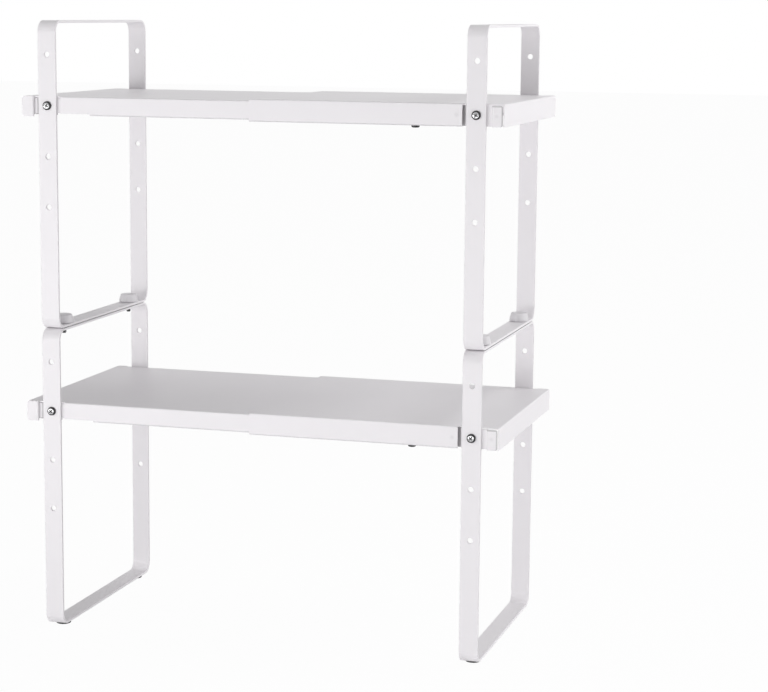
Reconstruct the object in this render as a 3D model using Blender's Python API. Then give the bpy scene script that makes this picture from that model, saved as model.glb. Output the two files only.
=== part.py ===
"""Two-tier expandable shelf organizer: strap loops at both ends carry telescoping sheet-steel trays.

Units are metres, +Z is up, X runs along the shelves and -Y is the front. The origin lies on the
floor under the middle of the organizer in its shortest setting.
"""
from math import cos, pi, radians, sin, tan

import bmesh
import bpy
from mathutils import Matrix, Vector

# Overall sizes
STRAP_SPACING = 0.434
LOOP_DEPTH = 0.230
LOOP_HEIGHT = 0.305
GAP = 0.0003
SLIDE_CLEARANCE = 0.0004
CUT_OVERRUN = 0.001

# Strap loops
STRAP_WIDTH = 0.019
STRAP_THICKNESS = 0.0025
LOOP_BEND = 0.012
TOP_HOLE_DROP = 0.033
HOLE_SPACING = 0.050
HOLE_COUNT = 4
FREE_HOLE_COUNT = 1
LEG_HOLE_RADIUS = 0.00275

# Trays
SHEET = 0.0012
TRAY_BEND = 0.0016
OUTER_HEIGHT = 0.0215
OUTER_LENGTH = 0.251
TRAY_OVERHANG = 0.027
LIP_WIDTH = 0.011
INNER_LIP_WIDTH = 0.009
INNER_LIP_START = 0.044
OUTER_LIP_START = 0.030
END_CLEARANCE = 0.002

# Corner brackets
POCKET_CLEARANCE = 0.004
TAB_POCKET_CLEARANCE = 0.0052
POCKET_RELIEF = 0.0021
INSIDE_RELIEF = 0.0004
FLOOR_SETBACK = 0.002
GROOVE_WIDTH = 0.0045
GROOVE_DEPTH = 0.008
WING_WIDTH = 0.006
BRACKET_BEND = 0.0011
TAB_CORNER = 0.003
INSIDE_TAB_CORNER = 0.0018
INSIDE_TAB_CLEARANCE = 0.0008

# Leg screws and their nuts
SHANK_RADIUS = 0.0024
HEAD_RADIUS = 0.0044
HEAD_HEIGHT = 0.0025
HEAD_CROWN = 0.0011
CROSS_REACH = 0.0023
CROSS_WIDTH = 0.0010
CROSS_DEPTH = 0.0013
NUT_FLATS = 0.008
NUT_HEIGHT = 0.004
NUT_BORE_CLEARANCE = 0.0003
SHANK_PAST_NUT = 0.001

# Thumb knobs that clamp the upper loops to the lower ones
KNOB_INSET = 0.032
KNOB_RADIUS = 0.0098
KNOB_TOP_RADIUS = 0.0084
KNOB_HEIGHT = 0.0086
KNOB_ROUND = 0.0016
KNOB_SKIRT = 0.0024
STUD_RADIUS = 0.0024
STUD_HOLE_RADIUS = 0.00275
STUD_SOCKET = 0.006
STUD_REACH = 0.0053
STUD_CHAMFER = 0.0005

# Rubber feet
FOOT_INSET = 0.021
FOOT_RADIUS = 0.0075
FOOT_HEIGHT = 0.0026
FOOT_ROUND = 0.0008

# Lock screws under the outer trays
LOCK_OFFSET = 0.060
LOCK_INSET = 0.0062
LOCK_RADIUS = 0.0018
LOCK_HOLE_RADIUS = 0.0021
LOCK_HEAD_RADIUS = 0.0040
LOCK_HEAD_HEIGHT = 0.0021
LOCK_HEAD_CROWN = 0.0009

# Facets
LOOP_STEPS = 6
SHEET_STEPS = 3
HOLE_STEPS = 16
ROUND_STEPS = 20
CROWN_STEPS = 3
SMOOTH_ANGLE = radians(40)
HEX_SIDES = 6

# Places that follow from the sizes
POCKET_HALF = STRAP_WIDTH / 2 + POCKET_CLEARANCE
TAB_START = STRAP_WIDTH / 2 + TAB_POCKET_CLEARANCE
RECESS = STRAP_THICKNESS + GAP
FLOOR_END = POCKET_HALF - FLOOR_SETBACK
GROOVE_END = FLOOR_END + GROOVE_WIDTH
WING_END = GROOVE_END + WING_WIDTH
SETBACK = SHEET + SLIDE_CLEARANCE
OUTER_TOP = OUTER_HEIGHT / 2
OUTER_BOTTOM = -OUTER_TOP
INNER_TOP = OUTER_TOP - SETBACK
INNER_BOTTOM = OUTER_BOTTOM + SETBACK
INNER_LENGTH = STRAP_SPACING + TRAY_OVERHANG - WING_END - END_CLEARANCE
LOOP_BASE = FOOT_HEIGHT + GAP
TIER_STEP = LOOP_HEIGHT + GAP
SCREW_HEIGHT = LOOP_HEIGHT - TOP_HOLE_DROP - FREE_HOLE_COUNT * HOLE_SPACING

TIERS = {"lower": LOOP_BASE, "upper": LOOP_BASE + TIER_STEP}
SIDES = {"left": -1, "right": 1}
FACES = {"front": -1, "rear": 1}
TURNS = {
    "X": Matrix.Rotation(pi / 2, 4, "Y"),
    "Y": Matrix.Rotation(-pi / 2, 4, "X"),
    "Z": Matrix.Identity(4),
}

# Materials: colour, metallic, roughness
FINISHES = {
    "white_coat": ((0.86, 0.86, 0.87, 1), 0, 0.42),
    "white_plastic": ((0.84, 0.84, 0.85, 1), 0, 0.35),
    "chrome": ((0.62, 0.62, 0.64, 1), 1, 0.18),
    "black_rubber": ((0.03, 0.03, 0.03, 1), 0, 0.75),
}


def clear_scene():
    for old in list(bpy.data.objects):
        bpy.data.objects.remove(old, do_unlink=True)


def material(name):
    """The named finish as a Principled material, made once."""
    found = bpy.data.materials.get(name)
    if found:
        return found
    colour, metallic, roughness = FINISHES[name]
    made = bpy.data.materials.new(name)
    made.use_nodes = True
    shader = made.node_tree.nodes["Principled BSDF"]
    shader.inputs["Base Color"].default_value = colour
    shader.inputs["Metallic"].default_value = metallic
    shader.inputs["Roughness"].default_value = roughness
    made.diffuse_color = colour
    return made


def new_object(name, mesh):
    made = bpy.data.objects.new(name, mesh)
    bpy.context.collection.objects.link(made)
    return made


def mesh_of(bm, name):
    """A mesh from a bmesh, with its faces pointing out."""
    bmesh.ops.recalc_face_normals(bm, faces=bm.faces)
    mesh = bpy.data.meshes.new(name)
    bm.to_mesh(mesh)
    bm.free()
    return mesh


def smooth(mesh):
    mesh.shade_smooth()
    mesh.set_sharp_from_angle(angle=SMOOTH_ANGLE)
    return mesh


def changed(mesh, tools, operation):
    """The mesh after Booleans with the tool meshes, as a new mesh."""
    body = new_object(mesh.name, mesh)
    helpers = [new_object("tool", tool) for tool in tools]
    for helper in helpers:
        change = body.modifiers.new("change", "BOOLEAN")
        change.operation = operation
        change.solver = "EXACT"
        change.object = helper
    bpy.context.view_layer.update()
    graph = bpy.context.evaluated_depsgraph_get()
    result = bpy.data.meshes.new_from_object(body.evaluated_get(graph))
    for used in [body, *helpers]:
        bpy.data.objects.remove(used, do_unlink=True)
    return result


def cut(mesh, *tools):
    return changed(mesh, tools, "DIFFERENCE")


def joined(mesh, *pieces):
    return changed(mesh, pieces, "UNION")


def piece(name, mesh, finish, location, turn=None):
    """One named sub-part that shows the mesh at a place."""
    made = new_object(name, mesh)
    if turn is not None:
        made.matrix_world = turn
    made.location = location
    if not mesh.materials:
        mesh.materials.append(material(finish))
    return made


def rounded(corners, radius, steps, closed=False):
    """The path through the corners with each inner corner turned into an arc."""
    count = len(corners)
    path = []
    for i, corner in enumerate(corners):
        if not closed and i in (0, count - 1):
            path.append(Vector(corner))
            continue
        here = Vector(corner)
        before = (Vector(corners[i - 1]) - here).normalized()
        after = (Vector(corners[(i + 1) % count]) - here).normalized()
        half = before.angle(after) / 2
        centre = here + (before + after).normalized() * (radius / sin(half))
        start = here + before * (radius / tan(half)) - centre
        end = here + after * (radius / tan(half)) - centre
        sweep = start.angle_signed(end)
        for step in range(steps + 1):
            path.append(centre + Matrix.Rotation(-sweep * step / steps, 2) @ start)
    return path


def offset_path(path, distance, closed=False):
    """The path moved sideways by a distance, with mitred corners."""
    count = len(path)
    moved = []
    for i, point in enumerate(path):
        ahead = path[(i + 1) % count] if closed or i < count - 1 else None
        behind = path[i - 1] if closed or i > 0 else None
        normals = []
        if behind is not None:
            run = (point - behind).normalized()
            normals.append(Vector((-run.y, run.x)))
        if ahead is not None:
            run = (ahead - point).normalized()
            normals.append(Vector((-run.y, run.x)))
        middle = sum(normals, Vector((0, 0))).normalized()
        moved.append(point + middle * (distance / middle.dot(normals[0])))
    return moved


def sheet_outline(path, thickness):
    """The closed outline of a bent sheet whose middle follows the open path."""
    outer = offset_path(path, thickness / 2)
    inner = offset_path(path, -thickness / 2)
    return outer + inner[::-1]


def add_prism(bm, outline, place, near, far):
    """A straight solid with the outline at both ends; place(a, b, along) gives a point in space."""
    rings = [[bm.verts.new(place(p[0], p[1], along)) for p in outline] for along in (near, far)]
    count = len(outline)
    for i in range(count):
        following = (i + 1) % count
        bm.faces.new((rings[0][i], rings[0][following], rings[1][following], rings[1][i]))
    bm.faces.new(rings[0][::-1])
    bm.faces.new(rings[1])


def add_block(bm, low, high):
    """A box between two opposite corners."""
    low = Vector(low)
    high = Vector(high)
    size = Matrix.Diagonal((*(high - low), 1))
    bmesh.ops.create_cube(bm, size=1, matrix=Matrix.Translation((low + high) / 2) @ size)


def add_rod(bm, centre, axis, radius, length, steps=HOLE_STEPS):
    """A round rod along X, Y or Z."""
    bmesh.ops.create_cone(
        bm, cap_ends=True, segments=steps, radius1=radius, radius2=radius, depth=length,
        matrix=Matrix.Translation(centre) @ TURNS[axis],
    )


def block_mesh(low, high):
    bm = bmesh.new()
    add_block(bm, low, high)
    return mesh_of(bm, "block")


def turned(name, profile, steps=ROUND_STEPS):
    """A solid of revolution about Z; the profile's first and last points lie on the axis."""
    bm = bmesh.new()
    rings = []
    for radius, height in profile:
        if radius == 0:
            rings.append([bm.verts.new((0, 0, height))])
            continue
        turns = [2 * pi * i / steps for i in range(steps)]
        rings.append([bm.verts.new((radius * cos(a), radius * sin(a), height)) for a in turns])
    for lower, upper in zip(rings, rings[1:]):
        for i in range(steps):
            following = (i + 1) % steps
            corners = [lower[i % len(lower)], lower[following % len(lower)],
                       upper[following % len(upper)], upper[i % len(upper)]]
            bm.faces.new(list(dict.fromkeys(corners)))
    return mesh_of(bm, name)


def quarter_round(centre, radius, start, end, steps):
    """Points of an arc in a turned profile, from one angle to another."""
    angles = [start + (end - start) * i / steps for i in range(steps + 1)]
    return [(centre[0] + radius * cos(a), centre[1] + radius * sin(a)) for a in angles]


# Strap loops

def loop_body():
    """A closed rectangular loop of flat strap with round bends, standing on z = 0."""
    half = (LOOP_DEPTH - STRAP_THICKNESS) / 2
    low = STRAP_THICKNESS / 2
    high = LOOP_HEIGHT - STRAP_THICKNESS / 2
    corners = [(-half, low), (half, low), (half, high), (-half, high)]
    path = rounded(corners, LOOP_BEND - STRAP_THICKNESS / 2, LOOP_STEPS, closed=True)
    bm = bmesh.new()
    rings = []
    for side in (-1, 1):
        for distance in (-STRAP_THICKNESS / 2, STRAP_THICKNESS / 2):
            points = offset_path(path, distance, closed=True)
            rings.append([bm.verts.new((side * STRAP_WIDTH / 2, p.x, p.y)) for p in points])
    order = (rings[0], rings[1], rings[3], rings[2])
    for ring, following in zip(order, order[1:] + order[:1]):
        for i in range(len(path)):
            j = (i + 1) % len(path)
            bm.faces.new((ring[i], ring[j], following[j], following[i]))
    return mesh_of(bm, "loop")


def loop_holes(bar_height):
    """Cutters for the rows of holes in the uprights and for the two holes of one bar."""
    bm = bmesh.new()
    for row in range(HOLE_COUNT):
        height = LOOP_HEIGHT - TOP_HOLE_DROP - row * HOLE_SPACING
        add_rod(bm, (0, 0, height), "Y", LEG_HOLE_RADIUS, LOOP_DEPTH + CUT_OVERRUN)
    for face in FACES.values():
        centre = (0, face * (LOOP_DEPTH / 2 - KNOB_INSET), bar_height)
        add_rod(bm, centre, "Z", STUD_HOLE_RADIUS, STRAP_THICKNESS + CUT_OVERRUN)
    return mesh_of(bm, "loop_holes")


def make_loops():
    bars = {"lower": LOOP_HEIGHT - STRAP_THICKNESS / 2, "upper": STRAP_THICKNESS / 2}
    for tier, base in TIERS.items():
        mesh = smooth(cut(loop_body(), loop_holes(bars[tier])))
        for side, sign in SIDES.items():
            place = (sign * STRAP_SPACING / 2, 0, base)
            piece(f"{side}_{tier}_loop", mesh, "white_coat", place)


# Trays: local x grows from the strap towards the open end, the screw axis is at z = 0

def channel_mesh(front, top, bottom, lip, near, far):
    """A bent channel, open below, with lips turned inwards along its lower edges."""
    half = front - SHEET / 2
    crown = top - SHEET / 2
    hem = bottom + SHEET / 2
    corners = [(lip - front, hem), (-half, hem), (-half, crown),
               (half, crown), (half, hem), (front - lip, hem)]
    path = rounded(corners, TRAY_BEND - SHEET / 2, SHEET_STEPS)
    bm = bmesh.new()
    add_prism(bm, sheet_outline(path, SHEET), lambda y, z, x: (x, y, z), near, far)
    return mesh_of(bm, "channel")


def end_mesh(front, top, bottom):
    """The top sheet's end past the strap pockets, bent down into the end flange."""
    outside = SHEET / 2 - TRAY_OVERHANG
    middle = top - SHEET / 2
    corners = [(POCKET_HALF + SHEET, middle), (outside, middle), (outside, bottom)]
    path = rounded(corners, TRAY_BEND - SHEET / 2, SHEET_STEPS)
    bm = bmesh.new()
    add_prism(bm, sheet_outline(path, SHEET), lambda x, z, y: (x, y, z), -front, front)
    return mesh_of(bm, "end")


def pocket_notches(front, top):
    """Cutters for the two notches in the top sheet that let the straps pass."""
    bm = bmesh.new()
    for face in FACES.values():
        edges = sorted((face * (LOOP_DEPTH / 2 - RECESS), face * (front + CUT_OVERRUN)))
        low = (-TAB_START, edges[0], top - SHEET - CUT_OVERRUN)
        high = (POCKET_HALF, edges[1], top + CUT_OVERRUN)
        add_block(bm, low, high)
    return mesh_of(bm, "notches")


def lock_holes(from_strap):
    """Cutters for the lock screws' holes in the lower lips."""
    bm = bmesh.new()
    for face in FACES.values():
        centre = (from_strap, face * (LOOP_DEPTH / 2 - LOCK_INSET), OUTER_BOTTOM + SHEET / 2)
        add_rod(bm, centre, "Z", LOCK_HOLE_RADIUS, SHEET + CUT_OVERRUN)
    return mesh_of(bm, "lock_holes")


def mirrored(mesh):
    """The mesh turned half round about Z, so that the same form serves the other end."""
    mesh.transform(Matrix.Rotation(pi, 4, "Z"))
    return mesh


def inner_tray():
    """The narrower tray, bolted to the left loops; its strap pocket is at x = 0."""
    front = LOOP_DEPTH / 2 - SETBACK
    far = INNER_LENGTH - TRAY_OVERHANG
    body = channel_mesh(front, INNER_TOP, INNER_BOTTOM, INNER_LIP_WIDTH, POCKET_HALF, far)
    relief = block_mesh(
        (POCKET_HALF - CUT_OVERRUN, -LOOP_DEPTH, INNER_BOTTOM - CUT_OVERRUN),
        (INNER_LIP_START, LOOP_DEPTH, INNER_BOTTOM + TRAY_BEND),
    )
    end = end_mesh(front, INNER_TOP, INNER_BOTTOM)
    body = joined(cut(body, relief), end)
    return smooth(cut(body, pocket_notches(front, INNER_TOP)))


def outer_tray():
    """The wider tray, bolted to the right loops, made as a left one and turned round."""
    front = LOOP_DEPTH / 2
    far = OUTER_LENGTH - TRAY_OVERHANG
    body = channel_mesh(front, OUTER_TOP, OUTER_BOTTOM, LIP_WIDTH, POCKET_HALF, far)
    relief = block_mesh(
        (POCKET_HALF - CUT_OVERRUN, TRAY_BEND - front, OUTER_BOTTOM - CUT_OVERRUN),
        (OUTER_LIP_START, front - TRAY_BEND, OUTER_BOTTOM + TRAY_BEND),
    )
    end = end_mesh(front, OUTER_TOP, OUTER_BOTTOM)
    body = joined(cut(body, relief), end)
    body = cut(body, pocket_notches(front, OUTER_TOP), lock_holes(LOCK_OFFSET))
    return smooth(mirrored(body))


def make_trays():
    inner = inner_tray()
    outer = outer_tray()
    for tier, base in TIERS.items():
        height = base + SCREW_HEIGHT
        piece(f"{tier}_inner_tray", inner, "white_coat", (-STRAP_SPACING / 2, 0, height))
        piece(f"{tier}_outer_tray", outer, "white_coat", (STRAP_SPACING / 2, 0, height))


# Corner brackets: u grows outwards from the strap, v inwards from the loop's outer face

def bracket_path(wing, reach, grooved):
    """The bracket's middle line in plan: wing, groove or slight step, pocket floor and corner tab."""
    middle = SHEET / 2
    groove = GROOVE_DEPTH - middle
    floor = RECESS + middle
    path = [(-WING_END, wing + middle)]
    if grooved:
        path += [(-GROOVE_END - middle, wing + middle), (-GROOVE_END - middle, groove),
                 (middle - FLOOR_END, groove), (middle - FLOOR_END, floor)]
    else:
        path += [(-POCKET_HALF, wing + middle), (-FLOOR_END, floor)]
    return path + [(TAB_START + middle, floor), (TAB_START + middle, middle), (reach, middle)]


def tab_corners(side, face, reach, top, corner):
    """Cutters that round the tab's two outer corners."""
    bm = bmesh.new()
    for height, way in ((OUTER_BOTTOM, 1), (top, -1)):
        centre = (reach - corner, height + way * corner)
        arc = [(centre[0] + corner * cos(a), centre[1] - way * corner * sin(a))
               for a in [pi / 2 * i / SHEET_STEPS for i in range(SHEET_STEPS + 1)]]
        tip = [(centre[0], height - way * CUT_OVERRUN), (reach + CUT_OVERRUN, height - way * CUT_OVERRUN),
               (reach + CUT_OVERRUN, centre[1])]
        add_prism(bm, arc + tip, lambda u, z, v: (side * u, -face * v, z), -CUT_OVERRUN, SHEET + CUT_OVERRUN)
    return mesh_of(bm, "corners")


def hidden_cuts(side, face, reach, top, clear, grooved):
    """Cutters that keep what lies behind the tab lower than the tab, and clear of the tray's bends."""
    relief = INSIDE_RELIEF if grooved else POCKET_RELIEF
    heel_start = FLOOR_END if grooved else STRAP_WIDTH / 2
    heel_depth = SHEET + GAP + SHEET if grooved else GROOVE_DEPTH
    front = -face * (SHEET + GAP)
    rows = sorted((front, -face * (GROOVE_DEPTH + CUT_OVERRUN)))
    ends = sorted((-side * (WING_END + CUT_OVERRUN), side * (reach + CUT_OVERRUN)))
    heel = sorted((-side * (WING_END + CUT_OVERRUN), -side * heel_start))
    heel_rows = sorted((front, -face * (heel_depth + CUT_OVERRUN)))
    below = OUTER_BOTTOM - CUT_OVERRUN
    return [
        block_mesh((ends[0], rows[0], clear), (ends[1], rows[1], top + CUT_OVERRUN)),
        block_mesh((ends[0], rows[0], below), (ends[1], rows[1], OUTER_BOTTOM + relief)),
        block_mesh((heel[0], heel_rows[0], below), (heel[1], heel_rows[1], -clear)),
    ]


def bracket_mesh(side, face, setback, reach, top, tray_top, corner, grooved):
    """The formed bracket of one corner, for a tray set back from the loop's face."""
    path = rounded(bracket_path(setback + SHEET + GAP, reach, grooved), BRACKET_BEND, SHEET_STEPS)
    bm = bmesh.new()
    add_prism(bm, sheet_outline(path, SHEET), lambda u, v, z: (side * u, -face * v, z), OUTER_BOTTOM, top)
    body = mesh_of(bm, "bracket")
    hole = bmesh.new()
    add_rod(hole, (0, -face * (RECESS + SHEET / 2), 0), "Y", LEG_HOLE_RADIUS, SHEET + CUT_OVERRUN)
    corners = tab_corners(side, face, reach, top, corner)
    clear = tray_top - TRAY_BEND - GAP
    hidden = hidden_cuts(side, face, reach, top, clear, grooved)
    return smooth(cut(body, mesh_of(hole, "hole"), corners, *hidden))


def make_brackets():
    """Left brackets close the inner trays' ends; right ones have a groove and sit inside the outer ends."""
    for side, sign in SIDES.items():
        for face, way in FACES.items():
            if side == "left":
                mesh = bracket_mesh(
                    sign, way, SETBACK, TRAY_OVERHANG, INNER_TOP, INNER_TOP, TAB_CORNER, False)
            else:
                inset = SHEET + INSIDE_TAB_CLEARANCE
                below = OUTER_TOP - inset
                reach = TRAY_OVERHANG - inset
                mesh = bracket_mesh(sign, way, 0, reach, below, OUTER_TOP, INSIDE_TAB_CORNER, True)
            for tier, base in TIERS.items():
                place = (sign * STRAP_SPACING / 2, way * LOOP_DEPTH / 2, base + SCREW_HEIGHT)
                piece(f"{tier}_{side}_{face}_bracket", mesh, "white_coat", place)


# Fasteners: made along Z and turned to point out of the face they enter

def cross_tools(height):
    """The two slots of a cross recess below the given height."""
    floor = height - CROSS_DEPTH
    half = CROSS_WIDTH / 2
    reaches = ((CROSS_REACH, half), (half, CROSS_REACH))
    return [block_mesh((-x, -y, floor), (x, y, height + CUT_OVERRUN)) for x, y in reaches]


def pan_screw(name, shank, length, head, height, crown):
    """A pan-head screw whose head sits on z = 0 with the shank below it."""
    dome = quarter_round((head - crown, height - crown), crown, 0, pi / 2, CROWN_STEPS)
    profile = [(0, -length), (shank, -length), (shank, 0), (head, 0), *dome, (0, height)]
    return turned(name, profile)


def nut_mesh():
    """A plain hexagon nut on z = 0."""
    bm = bmesh.new()
    across = NUT_FLATS / 2 / cos(pi / HEX_SIDES)
    add_rod(bm, (0, 0, NUT_HEIGHT / 2), "Z", across, NUT_HEIGHT, HEX_SIDES)
    bore = bmesh.new()
    radius = SHANK_RADIUS + NUT_BORE_CLEARANCE
    add_rod(bore, (0, 0, NUT_HEIGHT / 2), "Z", radius, NUT_HEIGHT + CUT_OVERRUN)
    return smooth(cut(mesh_of(bm, "nut"), mesh_of(bore, "bore")))


def make_leg_fasteners():
    nut_start = RECESS + SHEET + GAP
    length = GAP + nut_start + NUT_HEIGHT + SHANK_PAST_NUT
    screw = pan_screw("leg_screw", SHANK_RADIUS, length, HEAD_RADIUS, HEAD_HEIGHT, HEAD_CROWN)
    screw = smooth(cut(screw, *cross_tools(HEAD_HEIGHT)))
    nut = nut_mesh()
    for tier, base in TIERS.items():
        for side, sign in SIDES.items():
            for face, way in FACES.items():
                turn = Matrix.Rotation(-way * pi / 2, 4, "X")
                x = sign * STRAP_SPACING / 2
                z = base + SCREW_HEIGHT
                outside = way * (LOOP_DEPTH / 2 + GAP)
                inside = way * (LOOP_DEPTH / 2 - nut_start - NUT_HEIGHT)
                piece(f"{tier}_{side}_{face}_screw", screw, "chrome", (x, outside, z), turn)
                piece(f"{tier}_{side}_{face}_nut", nut, "chrome", (x, inside, z), turn)


def make_lock_screws():
    """Short screws up through the outer trays' lips that clamp the inner trays' lips."""
    screw = pan_screw("lock_screw", LOCK_RADIUS, SETBACK, LOCK_HEAD_RADIUS, LOCK_HEAD_HEIGHT, LOCK_HEAD_CROWN)
    screw = smooth(cut(screw, *cross_tools(LOCK_HEAD_HEIGHT)))
    turn = Matrix.Rotation(pi, 4, "X")
    for tier, base in TIERS.items():
        for face, way in FACES.items():
            x = STRAP_SPACING / 2 - LOCK_OFFSET
            y = way * (LOOP_DEPTH / 2 - LOCK_INSET)
            z = base + SCREW_HEIGHT + OUTER_BOTTOM - GAP
            piece(f"{tier}_{face}_lock_screw", screw, "chrome", (x, y, z), turn)


# Knobs, studs and feet

def knob_mesh():
    """A low tapered knob on z = 0 with a blind socket for its stud."""
    socket = STUD_RADIUS + GAP
    crown = quarter_round(
        (KNOB_TOP_RADIUS - KNOB_ROUND, KNOB_HEIGHT - KNOB_ROUND), KNOB_ROUND, 0, pi / 2, CROWN_STEPS)
    profile = [(0, STUD_SOCKET), (socket, STUD_SOCKET), (socket, 0), (KNOB_RADIUS, 0),
               (KNOB_RADIUS, KNOB_SKIRT), *crown, (0, KNOB_HEIGHT)]
    return smooth(turned("knob", profile))


def stud_mesh(length):
    """A plain stud from z = 0 down, with both ends chamfered."""
    tip = STUD_RADIUS - STUD_CHAMFER
    profile = [(0, -length), (tip, -length), (STUD_RADIUS, STUD_CHAMFER - length),
               (STUD_RADIUS, -STUD_CHAMFER), (tip, 0), (0, 0)]
    return smooth(turned("stud", profile, HOLE_STEPS))


def make_knobs():
    """Each knob stands on the upper loop's bottom bar; its stud runs down through both bars."""
    seat = TIERS["upper"] + STRAP_THICKNESS + GAP
    top = seat + STUD_SOCKET - GAP
    bottom = TIERS["upper"] - GAP - STRAP_THICKNESS - STUD_REACH
    knob = knob_mesh()
    stud = stud_mesh(top - bottom)
    for side, sign in SIDES.items():
        for face, way in FACES.items():
            x = sign * STRAP_SPACING / 2
            y = way * (LOOP_DEPTH / 2 - KNOB_INSET)
            piece(f"{side}_{face}_knob", knob, "white_plastic", (x, y, seat))
            piece(f"{side}_{face}_stud", stud, "chrome", (x, y, top))


def make_feet():
    """Rubber pads under the lower loops, standing on the floor at z = 0."""
    hem = quarter_round((FOOT_RADIUS - FOOT_ROUND, FOOT_ROUND), FOOT_ROUND, -pi / 2, 0, CROWN_STEPS)
    foot = smooth(turned("foot", [(0, 0), *hem, (FOOT_RADIUS, FOOT_HEIGHT), (0, FOOT_HEIGHT)]))
    for side, sign in SIDES.items():
        for face, way in FACES.items():
            place = (sign * STRAP_SPACING / 2, way * (LOOP_DEPTH / 2 - FOOT_INSET), 0)
            piece(f"{side}_{face}_foot", foot, "black_rubber", place)


def main():
    clear_scene()
    make_loops()
    make_trays()
    make_brackets()
    make_leg_fasteners()
    make_lock_screws()
    make_knobs()
    make_feet()


main()
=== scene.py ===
"""Looks of a two-tier expandable shelf organizer: fine meshes, finishes and a stage for its solids.

Lengths are metres in the frame of the solids: +Z is up, X runs along the shelves and -Y is the front.
"""
from functools import cache
from itertools import product
from types import SimpleNamespace

import bmesh
import bpy
import numpy as np
from mathutils import Matrix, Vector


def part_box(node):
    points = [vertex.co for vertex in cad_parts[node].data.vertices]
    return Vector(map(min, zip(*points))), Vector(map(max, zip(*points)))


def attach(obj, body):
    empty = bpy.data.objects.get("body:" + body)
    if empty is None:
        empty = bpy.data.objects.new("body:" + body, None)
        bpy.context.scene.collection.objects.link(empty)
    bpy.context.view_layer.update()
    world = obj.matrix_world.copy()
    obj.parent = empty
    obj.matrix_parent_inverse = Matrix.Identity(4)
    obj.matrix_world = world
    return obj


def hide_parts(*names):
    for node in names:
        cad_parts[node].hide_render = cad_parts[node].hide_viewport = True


bl_info = {
    "name": "Expandable shelf organizer",
    "version": (1, 0, 0),
    "blender": (4, 5, 0),
    "location": "View3D > Sidebar > Organizer",
    "description": "Dresses the solids of a two-tier shelf organizer and sets up its stage",
    "category": "Add Mesh",
}

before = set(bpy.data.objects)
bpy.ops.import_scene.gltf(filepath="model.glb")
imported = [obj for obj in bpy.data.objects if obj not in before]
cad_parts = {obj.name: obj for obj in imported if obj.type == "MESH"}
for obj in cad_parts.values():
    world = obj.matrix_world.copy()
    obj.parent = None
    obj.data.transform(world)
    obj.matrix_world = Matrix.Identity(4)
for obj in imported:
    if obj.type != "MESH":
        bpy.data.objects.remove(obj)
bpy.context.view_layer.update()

TIERS = ("lower", "upper")
SIDES = {"left": -1, "right": 1}
FACES = {"front": -1, "rear": 1}
TRAYS = {"left": "inner", "right": "outer"}

# Steps of the meshes
BEND_STEPS = 6
STRAP_BEND_STEPS = 14
FACE_STEPS = 8
EDGE_STEPS = 3
RING_ROWS = 4
DIMPLE_STEPS = 8
THREAD_STEPS = 7
SCREW_SIDES = 72
DOME_ROWS = 44
ROUND_SIDES = 64
ARC_STEPS = 6
HEX_SIDES = 6
RIM_STEPS = 2

WELD = 2e-6
SHADE = "shade"
LINE_PLACES = 7
SMOOTH_ANGLE = np.radians(38)
RIM_ANGLE = np.radians(55)
QUARTER = np.pi / 2


def kind_of(maker, **fixed):
    """A function that adds a property of one kind."""
    def add(name, description, default):
        return maker(name=name, description=description, default=default, min=0, **fixed)
    return add


metres = kind_of(bpy.props.FloatProperty, precision=5, unit="LENGTH")
share = kind_of(bpy.props.FloatProperty, max=1, subtype="FACTOR")
amount = kind_of(bpy.props.FloatProperty)
rgb = kind_of(bpy.props.FloatVectorProperty, max=1, size=3, subtype="COLOR")


class StrapSettings(bpy.types.PropertyGroup):
    """Sizes of the strap loops."""

    thickness: metres("Thickness", "Thickness of the strap", 0.0025)
    bend: metres("Bend", "Outer radius of the loop's bends", 0.012)
    edge: metres("Edge", "Radius of the strap's long edges", 0.0005)
    top_hole: metres("Top hole", "From the loop's top to its first hole", 0.033)
    hole_spacing: metres("Hole spacing", "From one hole to the next", 0.050)
    hole_count: bpy.props.IntProperty(name="Holes", description="Holes in an upright", default=4, min=1)
    hole_radius: metres("Hole radius", "Radius of every hole in the strap", 0.00275)
    hole_rim: metres("Hole rim", "Rounding of the coat at a hole's rim", 0.0003)


class TraySettings(bpy.types.PropertyGroup):
    """Sizes of the telescoping trays."""

    sheet: metres("Sheet", "Thickness of the sheet steel", 0.0012)
    bend: metres("Bend", "Outer radius of the tray's bends", 0.0016)
    rim: metres("Rim", "Rounding of the cut edges", 0.00022)
    pocket: metres("Pocket", "From the strap's middle to the tray's side of its pocket", 0.0135)
    tab_start: metres("Tab start", "From the strap's middle to the tab's side of its pocket", 0.0147)
    inner_lip: metres("Inner lip", "Width of the inner tray's lips", 0.009)
    outer_lip: metres("Outer lip", "Width of the outer tray's lips", 0.011)
    inner_lip_start: metres("Inner lip start", "From the strap to the inner tray's lips", 0.044)
    outer_lip_start: metres("Outer lip start", "From the strap to the outer tray's lips", 0.030)
    dimple_radius: metres("Weld mark", "Radius of a spot weld's mark", 0.0032)
    dimple_depth: metres("Weld depth", "Depth of a spot weld's mark", 0.00035)
    dimple_offset: metres("Weld place", "From the strap to the weld in the flange", 0.019)


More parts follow.
